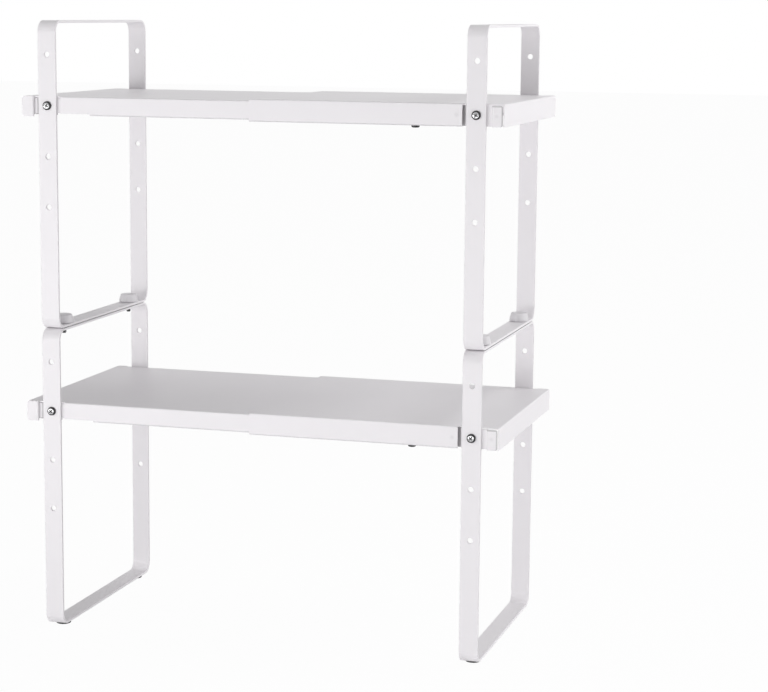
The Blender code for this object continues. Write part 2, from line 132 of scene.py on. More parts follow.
class BracketSettings(bpy.types.PropertyGroup):
    """Sizes of the formed corner brackets."""

    bend: metres("Bend", "Radius of the bends, at the middle of the sheet", 0.0011)
    floor_setback: metres("Floor setback", "How much shorter the floor is than its notch", 0.002)
    groove_width: metres("Groove width", "Width of the groove beside the pocket", 0.0045)
    groove_depth: metres("Groove depth", "Depth of the groove below the strap's face", 0.008)
    wing: metres("Wing", "Width of the wing that is welded behind the flange", 0.006)
    relief: metres("Relief", "How much higher a left pocket's floor ends than the tab", 0.0021)
    inside_relief: metres("Inside relief", "How much higher a right pocket's floor ends", 0.0004)
    corner: metres("Tab corner", "Radius of a left tab's outer corners", 0.003)
    inside_corner: metres("Inside corner", "Radius of a right tab's outer corners", 0.0018)
    weld_offset: metres("Weld place", "From the strap to the weld in the tab", 0.0195)


class FastenerSettings(bpy.types.PropertyGroup):
    """Sizes of the screws, nuts and studs."""

    shank: metres("Shank", "Radius of a leg screw's and a stud's thread", 0.0024)
    pitch: metres("Pitch", "Pitch of the leg screws' and studs' thread", 0.0008)
    cross: metres("Cross", "Reach of a leg screw's cross recess", 0.0023)
    lock_shank: metres("Lock shank", "Radius of a lock screw's thread", 0.0018)
    lock_pitch: metres("Lock pitch", "Pitch of a lock screw's thread", 0.0007)
    lock_cross: metres("Lock cross", "Reach of a lock screw's cross recess", 0.0020)
    lock_hole: metres("Lock hole", "Radius of a lock screw's hole", 0.0021)
    head_height: metres("Head height", "Height of a leg screw's head", 0.0025)
    lock_head_height: metres("Lock head height", "Height of a lock screw's head", 0.0021)
    play: metres("Play", "Clearance of a nut's thread on its screw", 0.00006)


class KnobSettings(bpy.types.PropertyGroup):
    """Sizes of the knobs and feet."""

    top_radius: metres("Top radius", "Radius of the knob's top", 0.0084)
    skirt: metres("Skirt", "Height of the knob's straight skirt", 0.0024)
    rounding: metres("Rounding", "Radius of the knob's top edge", 0.0016)
    foot_edge: metres("Foot edge", "Radius of a foot's lower edge", 0.0008)


class FinishSettings(bpy.types.PropertyGroup):
    """Colours and gloss."""

    coat: rgb("Coat", "Powder coat", (0.85, 0.828, 0.85))
    coat_roughness: share("Coat roughness", "How dull the powder coat is", 0.42)
    plastic: rgb("Plastic", "Knobs", (0.70, 0.685, 0.705))
    plated: rgb("Plated steel", "Screws, nuts and studs", (0.50, 0.50, 0.51))
    rubber: rgb("Rubber", "Feet", (0.028, 0.028, 0.030))


class StageSettings(bpy.types.PropertyGroup):
    """Camera, lamps and backdrop."""

    floor: rgb("Floor", "The floor's own colour", (0.88, 0.88, 0.89))
    backdrop_share: share("Backdrop", "How much of the floor shows as plain white", 0.965)
    ambient: amount("Ambient", "Light from all round", 0.405)
    front: amount("Front lamp", "Power of the wide lamp in front", 4.8)
    left: amount("Left lamp", "Power of the lamp in front on the left", 10.8)
    right: amount("Right lamp", "Power of the lamp in front on the right", 5.3)
    low: amount("Low lamp", "Power of the narrow lamp near the floor", 4.6)
    end: amount("End lamp", "Power of the lamp at the right-hand end", 11.9)
    top: amount("Top lamp", "Power of the lamp above the right-hand end", 13.8)


def settings(group):
    return getattr(bpy.context.scene, f"organizer_{group}")


class Box:
    """A node's box in the frame."""

    def __init__(self, node):
        self.low, self.high = (np.array(corner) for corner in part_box(node))
        self.size = self.high - self.low
        self.centre = (self.low + self.high) / 2

    def along(self, axis, way, start=0.0):
        """How far off the box begins and ends, along an axis taken forwards or backwards from a start."""
        return sorted((way * (self.low[axis] - start), way * (self.high[axis] - start)))

    def face(self, axis, way, inwards=0.0):
        """The middle of the box's near face along a signed axis, or a point that far in from it."""
        point = self.centre.copy()
        point[axis] = way * (self.along(axis, way)[0] + inwards)
        return point


# Lines and grids

def lines(*groups):
    """Sorted grid lines from several groups, each line once."""
    return np.unique(np.round(np.concatenate([np.ravel(g) for g in groups]), LINE_PLACES))


def between(values, low, high):
    """The lines from low to high, with both ends."""
    near = 10.0 ** -LINE_PLACES
    return values[(values > low - near) & (values < high + near)]


def spread(centre, half, steps=FACE_STEPS):
    """Lines across a square or a mark round a centre."""
    return centre + np.linspace(-half, half, steps + 1)


def quads(rows, columns, round_rows=False, round_columns=False, kept=None):
    """Corner numbers of a grid's quads; a round direction joins its last line to its first."""
    i = np.arange(rows if round_rows else rows - 1)[:, None]
    j = np.arange(columns if round_columns else columns - 1)[None, :]
    down = (i + 1) % rows
    right = (j + 1) % columns
    corners = (i * columns + j, down * columns + j, down * columns + right, i * columns + right)
    faces = np.stack(np.broadcast_arrays(*corners), axis=-1)
    return faces.reshape(-1, 4) if kept is None else faces[kept]


def rim_of(a, b):
    """The points of a grid of lines a by b that lie on its outer edge, once round."""
    sides = (a[:-1], b[0]), (a[-1], b[:-1]), (a[:0:-1], b[-1]), (a[0], b[:0:-1])
    return np.concatenate([np.stack(np.broadcast_arrays(*side), -1) for side in sides])


def part(points, faces, shade=0.0):
    """A grid's points and quads, with how much painted shade each point carries."""
    return points, faces, np.broadcast_to(shade, points.shape[:-1])


def mesh_from(name, parts):
    """One mesh from parts: equal points are welded and the faces turned outwards."""
    points = np.concatenate([p.reshape(-1, 3) for p, _, _ in parts])
    shade = np.concatenate([v.ravel() for _, _, v in parts])
    starts = np.cumsum([0] + [p.size // 3 for p, _, _ in parts[:-1]])
    faces = np.concatenate([q + start for (_, q, _), start in zip(parts, starts)])
    used, faces = np.unique(faces, return_inverse=True)
    mesh = bpy.data.meshes.new(name)
    mesh.from_pydata(points[used], [], faces.reshape(-1, 4))
    mesh.attributes.new(SHADE, "FLOAT", "POINT").data.foreach_set("value", shade[used].astype(np.float32))
    bm = bmesh.new()
    bm.from_mesh(mesh)
    bmesh.ops.remove_doubles(bm, verts=bm.verts, dist=WELD)
    bmesh.ops.recalc_face_normals(bm, faces=bm.faces)
    bm.to_mesh(mesh)
    bm.free()
    mesh.shade_smooth()
    return mesh


class BentLine:
    """A flat line of straights and round bends through corner points, placed by distance along it.

    A straight's point is start + u (cos h, sin h). A bend of curvature k turns its heading h by k u,
    so its point is start + ((sin(h + k u) - sin h) / k, (cos h - cos(h + k u)) / k).
    Straight i runs from break 2 i to break 2 i + 1, with the first straight as number 0.
    """

    def __init__(self, corners, radius):
        corners = np.asarray(corners, float)
        runs = np.diff(corners, axis=0)
        reach = np.hypot(runs[:, 0], runs[:, 1])
        heading = np.arctan2(runs[:, 1], runs[:, 0])
        turn = (np.diff(heading) + np.pi) % (2 * np.pi) - np.pi
        cutback = radius * np.tan(np.abs(turn) / 2)
        ways = runs / reach[:, None]
        reach[:-1] -= cutback
        reach[1:] -= cutback
        count = 2 * len(reach) - 1
        self.spans = np.zeros(count)
        self.spans[0::2] = reach
        self.spans[1::2] = radius * np.abs(turn)
        self.curves = np.zeros(count)
        self.curves[1::2] = np.sign(turn) / radius
        self.headings = np.repeat(heading, 2)[:count]
        self.starts = np.repeat(corners[:1], count, axis=0)
        self.starts[1::2] = corners[1:-1] - ways[:-1] * cutback[:, None]
        self.starts[2::2] = corners[1:-1] + ways[1:] * cutback[:, None]
        self.breaks = np.concatenate(([0], np.cumsum(self.spans)))

    def at(self, distance):
        """Points at distances along the line, and the line's normals to the right of its way."""
        span = np.clip(np.searchsorted(self.breaks, distance, side="right") - 1, 0, len(self.spans) - 1)
        ahead = distance - self.breaks[span]
        first = self.headings[span]
        curve = self.curves[span]
        heading = first + curve * ahead
        flat = curve == 0
        safe = np.where(flat, 1, curve)
        x = np.where(flat, ahead * np.cos(first), (np.sin(heading) - np.sin(first)) / safe)
        y = np.where(flat, ahead * np.sin(first), (np.cos(first) - np.cos(heading)) / safe)
        return self.starts[span] + np.stack((x, y), -1), np.stack((np.sin(heading), -np.cos(heading)), -1)

    def stops(self, steps):
        """Distances of the line's breaks, with each bend divided into steps."""
        ends = zip(self.breaks[:-1], self.breaks[1:], self.curves)
        return lines(*[np.linspace(a, b, steps + 1 if curve else 2) for a, b, curve in ends])


def panel(a, b, place, kept=None, holes=(), shade=None):
    """A sheet's middle surface: place(a, b) over a grid of lines, with a ring of quads round each hole.

    A ring's point is (1 - t) times the rim of the hole's rectangle plus t times its circle.
    """
    def piece(a, b, faces):
        return part(place(a, b), faces, shade(a, b) if shade else 0.0)

    across, down = np.meshgrid((a[:-1] + a[1:]) / 2, (b[:-1] + b[1:]) / 2, indexing="ij")
    shown = np.ones(across.shape, bool) if kept is None else kept(across, down)
    parts = []
    for centre_a, centre_b, half, radius in holes:
        shown &= (np.abs(across - centre_a) > half) | (np.abs(down - centre_b) > half)
        rim = rim_of(*(between(v, c - half, c + half) for v, c in ((a, centre_a), (b, centre_b))))
        centre = np.array((centre_a, centre_b))
        away = rim - centre
        circle = centre + radius * away / np.linalg.norm(away, axis=1, keepdims=True)
        t = np.linspace(0, 1, RING_ROWS + 1)[:, None, None]
        ring = (1 - t) * rim + t * circle
        around = quads(RING_ROWS + 1, len(rim), round_columns=True)
        parts.append(piece(ring[..., 0], ring[..., 1], around))
    return [*parts, piece(*np.meshgrid(a, b, indexing="ij"), quads(len(a), len(b), kept=shown))]


def turned(radius, height, sides, shade=0.0):
    """A grid round Z: its point is (r cos t, r sin t, z), with r and z given by row, or by row and side."""
    turn = np.linspace(0, 2 * np.pi, sides, endpoint=False)
    radius, height = (np.asarray(v, float).reshape(len(v), -1) for v in (radius, height))
    grid = np.broadcast_arrays(radius * np.cos(turn), radius * np.sin(turn), height + 0 * turn)
    return part(np.stack(grid, -1), quads(len(radius), sides, round_columns=True), shade)


def placed(made, origin, axis=2, way=1, spin=0.0):
    """A part made along Z, spun about it, turned to point along signed Y or Z and moved to its origin."""
    lean = {(2, 1): 0, (2, -1): np.pi, (1, 1): -QUARTER, (1, -1): QUARTER}[axis, way]
    turn = np.array(Matrix.Rotation(lean, 3, "X") @ Matrix.Rotation(spin, 3, "Z"))
    points, faces, shade = made
    return points @ turn.T + np.asarray(origin), faces, shade


def arc(centre, radius, start, end, steps=ARC_STEPS):
    """Points centre + radius (cos t, sin t) from one angle to another."""
    turn = np.linspace(start, end, steps + 1)
    return np.stack((centre[0] + radius * np.cos(turn), centre[1] + radius * np.sin(turn)), -1)


# Shader trees

MIX_FACTOR, MIX_FIRST, MIX_SECOND, MIX_COLOUR = 0, 6, 7, 2
WHITE = (1, 1, 1, 1)


class Socket:
    """A shader socket that adds Math nodes when it stands in a Python expression."""

    def __init__(self, shader, socket):
        self.shader = shader
        self.socket = socket

    def __add__(self, other):
        return self.shader.node("Math", {0: self, 1: other}, operation="ADD")

    def __mul__(self, other):
        return self.shader.node("Math", {0: self, 1: other}, operation="MULTIPLY")

    __radd__ = __add__
    __rmul__ = __mul__

    def limited(self):
        """The value held between zero and one."""
        return self.shader.node("Clamp", {0: self})


class Shader:
    """A node tree with one method that adds any node."""

    def __init__(self, owner):
        owner.use_nodes = True
        self.owner = owner
        self.tree = owner.node_tree
        self.tree.nodes.clear()

    def node(self, kind, inputs=None, output=0, **values):
        """Adds a node, sets its own values and then its inputs, and returns one of its outputs."""
        made = self.tree.nodes.new(f"ShaderNode{kind}")
        for name, value in values.items():
            setattr(made, name, value)
        for name, value in (inputs or {}).items():
            if isinstance(value, Socket):
                self.tree.links.new(value.socket, made.inputs[name])
            else:
                made.inputs[name].default_value = value
        return Socket(self, made.outputs[output]) if made.outputs else None

    def noise(self, place, scale, detail, roughness=0.5):
        """Noise about one half, with features of 1 / scale metres."""
        inputs = {"Vector": place, "Scale": scale, "Detail": detail, "Roughness": roughness}
        return self.node("TexNoise", inputs)

    def ramp(self, value, low, high):
        """Zero up to low, one from high on."""
        return self.node("MapRange", {"Value": value, "From Min": low, "From Max": high})

    def tint(self, factor, first, second, level):
        """A colour or linked colour that goes over into a second one times a level."""
        first = first if isinstance(first, Socket) else (*first, 1)
        second = (*[channel * level for channel in second], 1)
        inputs = {MIX_FACTOR: factor, MIX_FIRST: first, MIX_SECOND: second}
        return self.node("Mix", inputs, MIX_COLOUR, data_type="RGBA")

    def bump(self, height, distance, strength, under=None):
        inputs = {"Height": height, "Distance": distance, "Strength": strength}
        if under:
            inputs["Normal"] = under
        return self.node("Bump", inputs)

    def marks(self):
        """The painted shade and painted reflection that the mesh carries at each point."""
        return self.node("Attribute", output="Fac", attribute_name=SHADE)

    def finish(self, inputs):
        """Ends the tree in a Principled shader with these sockets."""
        self.node("OutputMaterial", {"Surface": self.node("BsdfPrincipled", inputs)})
        return self.owner

    def backed(self, soft, glow, cover, output):
        """Ends the tree in a soft surface, covered by plain white on rays that show the background."""
        names = ("Is Camera Ray", "Is Glossy Ray", "Is Transmission Ray")
        camera, gloss, glass = (self.node("LightPath", output=name) for name in names)
        factor = (camera + gloss + glass).limited() * cover
        white = self.node(glow, {"Color": WHITE, "Strength": 1.0})
        self.node(output, {"Surface": self.node("MixShader", {0: factor, 1: soft, 2: white})})


def new_finish(name):
    """The finishes' settings, a new material's tree and the object's own coordinates in it."""
    shader = Shader(bpy.data.materials.new(name))
    return settings("finish"), shader, shader.node("TexCoord", output="Object")


# A noise is given as its scale, its detail and, where it isn't one half, its roughness, and a bump as its
# distance and strength
COAT_PATCHES = (9, 3)
COAT_PEEL = (620, 2)
COAT_GRAIN = (3800, 2)
COAT_SPECKS = (1500, 1)
COAT_SPECK_LEVELS = (0.70, 0.78)
COAT_SPECK_SHARE = 0.35
COAT_VARIATION = 0.975
# How dark the coat's colour gets where the mesh carries painted shade and painted shadow
COAT_PAINTED_SHADE_LEVEL = 0.28
COAT_CLOUDING, COAT_GRAINING = 0.10, 0.04
COAT_SPECULAR = 0.42
COAT_RIPPLE = (0.00006, 0.30)
COAT_TOOTH = (0.00001, 0.30)


def coated_steel():
    """Satin powder coat: a faint orange-peel ripple, fine grain and slow changes of tone and gloss."""
    finish, shader, place = new_finish("white powder coat")
    patches = shader.noise(place, *COAT_PATCHES)
    grain = shader.noise(place, *COAT_GRAIN)
    specks = shader.ramp(shader.noise(place, *COAT_SPECKS), *COAT_SPECK_LEVELS)
    cloud = (patches + COAT_SPECK_SHARE * specks).limited()
    tone = shader.tint(cloud, finish.coat, finish.coat, COAT_VARIATION)
    even = finish.coat_roughness - COAT_CLOUDING / 2
    ripple = shader.bump(shader.noise(place, *COAT_PEEL), *COAT_RIPPLE)
    return shader.finish({
        # Painted shade and painted shadow from the mesh darken the coat's colour
        "Base Color": shader.tint(shader.marks().limited(), tone, finish.coat, COAT_PAINTED_SHADE_LEVEL),
        "Roughness": even + COAT_CLOUDING * patches + COAT_GRAINING * grain,
        "Specular IOR Level": COAT_SPECULAR,
        "Normal": shader.bump(grain, *COAT_TOOTH, ripple),
    })


PLASTIC_CLOUD = (60, 2)
PLASTIC_GRAIN = (4500, 3)
PLASTIC_VARIATION = 0.96
PLASTIC_ROUGHNESS, PLASTIC_CLOUDING, PLASTIC_GRAINING = 0.30, 0.12, 0.08
PLASTIC_TOOTH = (0.00002, 0.25)


def moulded_plastic():
    """Moulded plastic with a fine matt grain and slightly cloudy colour."""
    finish, shader, place = new_finish("white moulded plastic")
    cloud = shader.noise(place, *PLASTIC_CLOUD)
    grain = shader.noise(place, *PLASTIC_GRAIN)
    return shader.finish({
        "Base Color": shader.tint(cloud, finish.plastic, finish.plastic, PLASTIC_VARIATION),
        "Roughness": PLASTIC_ROUGHNESS + PLASTIC_CLOUDING * cloud + PLASTIC_GRAINING * grain,
        "Normal": shader.bump(grain, *PLASTIC_TOOTH),
    })


PLATED_CLOUD = (900, 3, 0.6)
PLATED_SCRATCHES = (9000, 2)
PLATED_SPOT_SHARE = 0.35
PLATED_VARIATION = 0.08
PLATED_ROUGHNESS, PLATED_CLOUDING = 0.14, 0.14
PLATED_TOOTH = (0.000004, 0.35)


def plated_steel():
    """Bright plating with fine turned scratches, slight clouding and darker spots, plus painted shade in the
    hollows and a painted dark reflection round the heads' rims.
    """
    finish, shader, place = new_finish("plated steel")
    cloud = shader.noise(place, *PLATED_CLOUD)
    # Random darker spots, plus the mesh's painted shade and painted reflection
    spots_and_painted_shade = (PLATED_SPOT_SHARE * cloud + shader.marks()).limited()
    return shader.finish({
        "Base Color": shader.tint(spots_and_painted_shade, finish.plated, finish.plated, PLATED_VARIATION),
        "Metallic": 1.0,
        "Roughness": PLATED_ROUGHNESS + PLATED_CLOUDING * cloud,
        "Normal": shader.bump(shader.noise(place, *PLATED_SCRATCHES), *PLATED_TOOTH),
    })


RUBBER_DUST = (700, 4, 0.6)
RUBBER_GRAIN = (3500, 3)
RUBBER_VARIATION = 1.9
RUBBER_ROUGHNESS, RUBBER_DUSTING = 0.66, 0.20
RUBBER_TOOTH = (0.00004, 0.5)


def black_rubber():
    """Dull rubber with a fine grain and a little dust."""
    finish, shader, place = new_finish("black rubber")
    dust = shader.noise(place, *RUBBER_DUST)
    return shader.finish({
        "Base Color": shader.tint(dust, finish.rubber, finish.rubber, RUBBER_VARIATION),
        "Roughness": RUBBER_ROUGHNESS + RUBBER_DUSTING * dust,
        "Normal": shader.bump(shader.noise(place, *RUBBER_GRAIN), *RUBBER_TOOTH),
    })


MAKERS = {
    "white_coat": coated_steel, "white_plastic": moulded_plastic,
    "chrome": plated_steel, "black_rubber": black_rubber,
}


@cache
def finish_of(slot):
    """The finish of a material slot, made once."""
    return MAKERS[slot]()


def linked(name, data):
    """A new object in the scene."""
    made = bpy.data.objects.new(name, data)
    bpy.context.scene.collection.objects.link(made)
    return made


def show(name, parts, slot, body, node, modifiers=()):
    """One piece in the scene: it stands for a node, rides on its body and has its slot's finish."""
    made = linked(name, mesh_from(name, parts))
    made.data.materials.append(finish_of(slot))
    for kind, values in modifiers:
        modifier = made.modifiers.new(kind.lower(), kind)
        for key, value in values.items():
            setattr(modifier, key, value)
    if not modifiers:
        made.data.set_sharp_from_angle(angle=SMOOTH_ANGLE)
    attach(made, body)
    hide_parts(node)


WEIGHTED = ("WEIGHTED_NORMAL", {})


def sheet_modifiers(tray):
    """Gives a middle surface its thickness and rounds the cut edges."""
    wall = {"thickness": tray.sheet, "offset": 0, "use_even_offset": True}
    edges = {"width": tray.rim, "segments": RIM_STEPS, "limit_method": "ANGLE", "angle_limit": RIM_ANGLE}
    return ("SOLIDIFY", wall), ("BEVEL", edges), WEIGHTED


# Strap loops

# Painted shade: a dark seam where a loop's bar lies on the next loop's bar, and darker long edges on the
# uprights
SEAM_SHARE = 0.9
EDGE_SHADE = 0.18


def strap_section(width, thickness, edge):
    """A flat bar's outline as (across, out) points, and which of its steps lie on the two flat faces."""
    half = width / 2 - edge
    out = thickness / 2
    face = np.stack((spread(0, half), np.full(FACE_STEPS + 1, out)), -1)
    corner = arc((half, out - edge), edge, QUARTER, 0, EDGE_STEPS)
    under = (corner * (1, -1))[::-1]
    upper = np.concatenate((face, corner[1:], under[:-1]))
    flat = np.arange(len(upper)) < FACE_STEPS
    return np.concatenate((upper, -upper)), np.tile(flat, 2)


def hole_rows(radius, rim, thickness):
    """Rows from a hole's square on the outer face to its square on the inner face.

    Each row is (share of the way from square to circle, circle's radius, place through the strap).
    """
    out = thickness / 2
    to_circle = np.linspace(0, 1, RING_ROWS + 1)
    lip = arc((radius + rim, out - rim), rim, QUARTER, np.pi, EDGE_STEPS)[1:]
    face_rows = np.stack(np.broadcast_arrays(to_circle, radius + rim, out), -1)
    lip_rows = np.column_stack((np.ones(len(lip)), lip))
    half = np.concatenate((face_rows, lip_rows))
    return np.concatenate((half, half[::-1] * (1, 1, -1)))


def strap_hole(path, centre, across, size):
    """A ring of quads through the strap: square rim on both faces, rounded lips and the bore."""
    rim = rim_of(across, across)
    away = rim / np.linalg.norm(rim, axis=1, keepdims=True)
    rows = hole_rows(size.hole_radius, size.hole_rim, size.thickness)
    to_circle, radius, out = (rows[:, k, None, None] for k in range(3))
    flat = (1 - to_circle) * rim + to_circle * radius * away
    middle, normal = path.at(np.array(centre))
    yz = middle + flat[..., 1:] * (-normal[1], normal[0]) + out * normal
    points = np.concatenate((flat[..., :1], yz), -1)
    return part(points, quads(len(rows), len(rim), round_columns=True))


def hole_places(path, top, knob_offset, middle, size):
    """Distances along the loop of the holes in both uprights and of the knobs' holes in one bar."""
    ends = path.breaks
    rise = top - size.top_hole - size.hole_spacing * np.arange(size.hole_count) - path.starts[2][1]
    knobs = (middle + knob_offset) % ends[-1], (middle - knob_offset) % ends[-1]
    return np.array([*(ends[2] + rise), *(ends[7] - rise), *knobs])


def loop_parts(box, knob_offset, bar, size):
    """A closed strap loop: the bar's outline carried along a rectangle with round bends.

    The point of station s and outline point (a, o) is path(s) + a X + o times the path's outward normal.
    """
    wall = size.thickness / 2
    half = box.size[1] / 2 - wall
    bottom = box.low[2] + wall
    top = box.high[2] - wall
    corners = [(0, bottom), (half, bottom), (half, top), (-half, top), (-half, bottom), (0, bottom)]
    path = BentLine(corners, size.bend - wall)
    ends = path.breaks
    middle = {"top": (ends[4] + ends[5]) / 2, "bottom": 0}[bar]
    centres = hole_places(path, box.high[2], knob_offset, middle, size)
    outline, flat = strap_section(box.size[0], size.thickness, size.edge)
    across = outline[:FACE_STEPS + 1, 0]
    stations = lines(path.stops(STRAP_BEND_STEPS), centres[:, None] + across)[:-1]
    places, normal = path.at(stations)
    yz = places[:, None, :] + outline[None, :, 1:] * normal[:, None, :]
    grid = np.concatenate((np.broadcast_to(outline[None, :, :1], (*yz.shape[:2], 1)), yz), -1)
    halfway = stations + np.diff(stations, append=ends[-1]) / 2
    holed = np.any(np.abs(halfway[:, None] - centres) < across[-1], axis=1)
    kept = ~(holed[:, None] & flat[None, :])
    touching = {"top": (stations >= ends[4]) & (stations <= ends[5]),
                "bottom": (stations <= ends[1]) | (stations >= ends[8])}[bar]
    # Painted shade on the bar's face that lies on the other loop, and on the uprights' long edges
    seam_shade = touching[:, None] * np.clip(1 - (wall - outline[:, 1]) / (SEAM_SHARE * size.edge), 0, 1)
    upright = np.isclose(np.abs(places[:, 0]), half)[:, None]
    edge = upright & (np.abs(outline[:, 0]) > across[-1] + size.edge / 2)
    faces = quads(len(stations), len(outline), round_rows=True, round_columns=True, kept=kept)
    parts = [part(grid, faces, np.maximum(seam_shade, EDGE_SHADE * edge))]
    parts += [strap_hole(path, centre, across, size) for centre in centres]
    return [(points + box.centre * (1, 0, 0), faces, shade) for points, faces, shade in parts]


class ORGANIZER_OT_loops(bpy.types.Operator):
    """Make the four strap loops, with rounded edges and holes"""

    bl_idname = "organizer.loops"
    bl_label = "Strap loops"

    def execute(self, context):
        size = settings("strap")
        for side, (tier, bar) in product(SIDES, zip(TIERS, ("top", "bottom"))):
            node = f"{side}_{tier}_loop"
            parts = loop_parts(Box(node), Box(f"{side}_rear_knob").centre[1], bar, size)
            show(f"strap_{side}_{tier}", parts, "white_coat", f"{side}_frame", node, [WEIGHTED])
        return {"FINISHED"}


# Trays: x is measured from the strap towards the open end, and s along the bent sheet from lip to lip

# Painted shade round the trays' hems and in the outer trays' weld marks
HEM_SHADE = 0.5
WELD_SHADE = 0.13
POCKET_GAP = 0.0003
LOCK_SQUARE = 0.0032


def mark_lines(centre, size):
    """Grid lines across a spot weld's mark."""
    return spread(centre, size.dimple_radius, DIMPLE_STEPS)


def dimple(a, b, centre_a, centre_b, size):
    """Depth of a spot weld's mark: d (1 + cos(pi r / R)) / 2 inside its radius R."""
    r = np.hypot(a - centre_a, b - centre_b) / size.dimple_radius
    return np.where(r < 1, size.dimple_depth * (1 + np.cos(np.pi * np.minimum(r, 1))) / 2, 0)


def tray_shape(side, tier, tray, strap):
    """The sizes of one tray that follow from its box and its neighbours' boxes, measured from its strap."""
    kind = TRAYS[side]
    box = Box(f"{tier}_{kind}_tray")
    strap_x = Box(f"{side}_{tier}_loop").centre[0]
    way = -SIDES[side]
    near, far = box.along(0, way, strap_x)
    wall = tray.sheet / 2
    floor = Box(f"{tier}_{side}_rear_bracket").high[1]
    lock = Box(f"{tier}_rear_lock_screw").centre
    return SimpleNamespace(
        strap_x=strap_x, way=way, far=far, overhang=-near, front=box.high[1], half=box.high[1] - wall,
        crown=box.high[2] - wall, hem=box.low[2] + wall, bottom=box.low[2], bend=tray.bend - wall,
        notch=floor - strap.thickness - POCKET_GAP,
        lip=getattr(tray, f"{kind}_lip"), lip_start=getattr(tray, f"{kind}_lip_start"),
        lock_x=way * (lock[0] - strap_x), lock_s=lock[1] - (box.high[1] - tray.outer_lip),
    )


def on_tray(shape, x, y, z):
    """A tray's point in the frame, from its place beyond the strap."""
    return np.stack((shape.strap_x + shape.way * x, shape.way * y, z), -1)


def channel_panels(kind, shape, size, lock_hole):
    """The tray's top, flanges and lips as one bent sheet, from the pocket to the open end."""
    edge = shape.front - shape.lip
    half, hem, crown = shape.half, shape.hem, shape.crown
    line = BentLine([(-edge, hem), (-half, hem), (-half, crown), (half, crown), (half, hem), (edge, hem)],
                    shape.bend)
    ends = line.breaks
    total = ends[-1]
    cut = ends[2] if kind == "inner" else ends[1]
    flange = (ends[2] + ends[3]) / 2
    x = lines([size.pocket, shape.lip_start, shape.far], mark_lines(size.dimple_offset, size))
    s = lines(line.stops(BEND_STEPS), mark_lines(flange, size), mark_lines(total - flange, size),
              spread(total / 2, shape.notch, 1))
    holes = []
    if kind == "outer":
        x = lines(x, spread(shape.lock_x, LOCK_SQUARE))
        for centre in (shape.lock_s, total - shape.lock_s):
            s = lines(s, spread(centre, LOCK_SQUARE))
            holes.append((shape.lock_x, centre, LOCK_SQUARE, lock_hole))

    def mark(x, s):
        """Depth of the outer tray's weld marks, one in each flange."""
        return (kind == "outer") * dimple(x, np.minimum(s, total - s), size.dimple_offset, flange, size)

    def place(x, s):
        points, normal = line.at(s)
        y, z = np.moveaxis(points - mark(x, s)[..., None] * normal, -1, 0)
        return on_tray(shape, x, y, z)

    def kept(x, s):
        return (x > shape.lip_start) | ((s > cut) & (s < total - cut))

    def shade(x, s):
        """Painted shade round the hems and in the outer tray's weld marks."""
        hem = np.clip((ends[2] - np.minimum(s, total - s)) / (ends[2] - ends[1]), 0, 1)
        return np.maximum(HEM_SHADE * hem, WELD_SHADE * mark(x, s) / size.dimple_depth)

    return panel(x, s, place, kept, holes, shade)


def end_panels(shape, size):
    """The top sheet from the channel past the two strap notches, bent down into the end flange."""
    outside = size.sheet / 2 - shape.overhang
    line = BentLine([(size.pocket, shape.crown), (outside, shape.crown), (outside, shape.bottom)],
                    shape.bend)
    side = np.array((shape.half - shape.bend, shape.notch, shape.front))
    pocket = size.pocket + size.tab_start

    def place(distance, y):
        x, z = np.moveaxis(line.at(distance)[0], -1, 0)
        return on_tray(shape, x, y, z)

    def kept(distance, y):
        return (distance > pocket) | (np.abs(y) < shape.notch)

    return panel(lines(line.stops(BEND_STEPS), [pocket]), lines(side, -side), place, kept)


class ORGANIZER_OT_trays(bpy.types.Operator):
    """Make the telescoping trays from bent sheet"""

    bl_idname = "organizer.trays"
    bl_label = "Trays"

    def execute(self, context):
        size = settings("tray")
        lock_hole = settings("fastener").lock_hole
        for tier, (side, kind) in product(TIERS, TRAYS.items()):
            shape = tray_shape(side, tier, size, settings("strap"))
            parts = channel_panels(kind, shape, size, lock_hole) + end_panels(shape, size)
            show(f"tray_{tier}_{kind}", parts, "white_coat", f"{side}_frame", f"{tier}_{kind}_tray",
                 sheet_modifiers(size))
        return {"FINISHED"}


# Corner brackets: u grows outwards from the strap and v inwards from the loop's outer face

# Painted shade in the right brackets' grooves and on the left brackets' steps up to the tab
GROOVE_SHADE = 0.45
STEP_SHADE = 0.15
# Painted shadow of the strap on a left pocket's floor beside it, and painted shade along the floor's lower
# end
STRAP_SHADOW_LEVEL = 0.7
STRAP_SHADOW_WIDTH = 0.0029
STRAP_SHADOW_CORE_SHARE = 0.65
STRAP_SHADOW_SHARES = np.array((-1, -STRAP_SHADOW_CORE_SHARE, STRAP_SHADOW_CORE_SHARE, 1))
SILL_SHADE = 1.0
SILL_WIDTH = 0.0013
# Painted shade along a right tab's top and end edges
TAB_EDGE_SHADE = 0.45
TAB_EDGE_WIDTH = 0.0007
TAB_EDGE_ROWS = 2
FLOOR_SQUARE = 0.0040


def bracket_shape(tier, side, face, tray, size):
    """The sizes of one bracket that follow from its box and its neighbours' boxes."""
    inside = TRAYS[side] == "outer"
    tray_high = Box(f"{tier}_{TRAYS[side]}_tray").high
    loop = Box(f"{side}_{tier}_loop")
    box = Box(f"{tier}_{side}_{face}_bracket")
    centre_z = Box(f"{tier}_{side}_{face}_nut").centre[2]
    return SimpleNamespace(
        strap_x=loop.centre[0], side=SIDES[side], face=FACES[face], front=loop.high[1], centre_z=centre_z,
        setback=loop.high[1] - tray_high[1], reach=box.along(0, SIDES[side], loop.centre[0])[1],
        low=box.low[2] - centre_z, high=box.high[2] - centre_z, inside=inside,
        corner=size.inside_corner if inside else size.corner,
        relief=size.inside_relief if inside else size.relief,
        strap_half=loop.size[0] / 2, clear=tray_high[2] - centre_z - tray.bend - POCKET_GAP,
    )


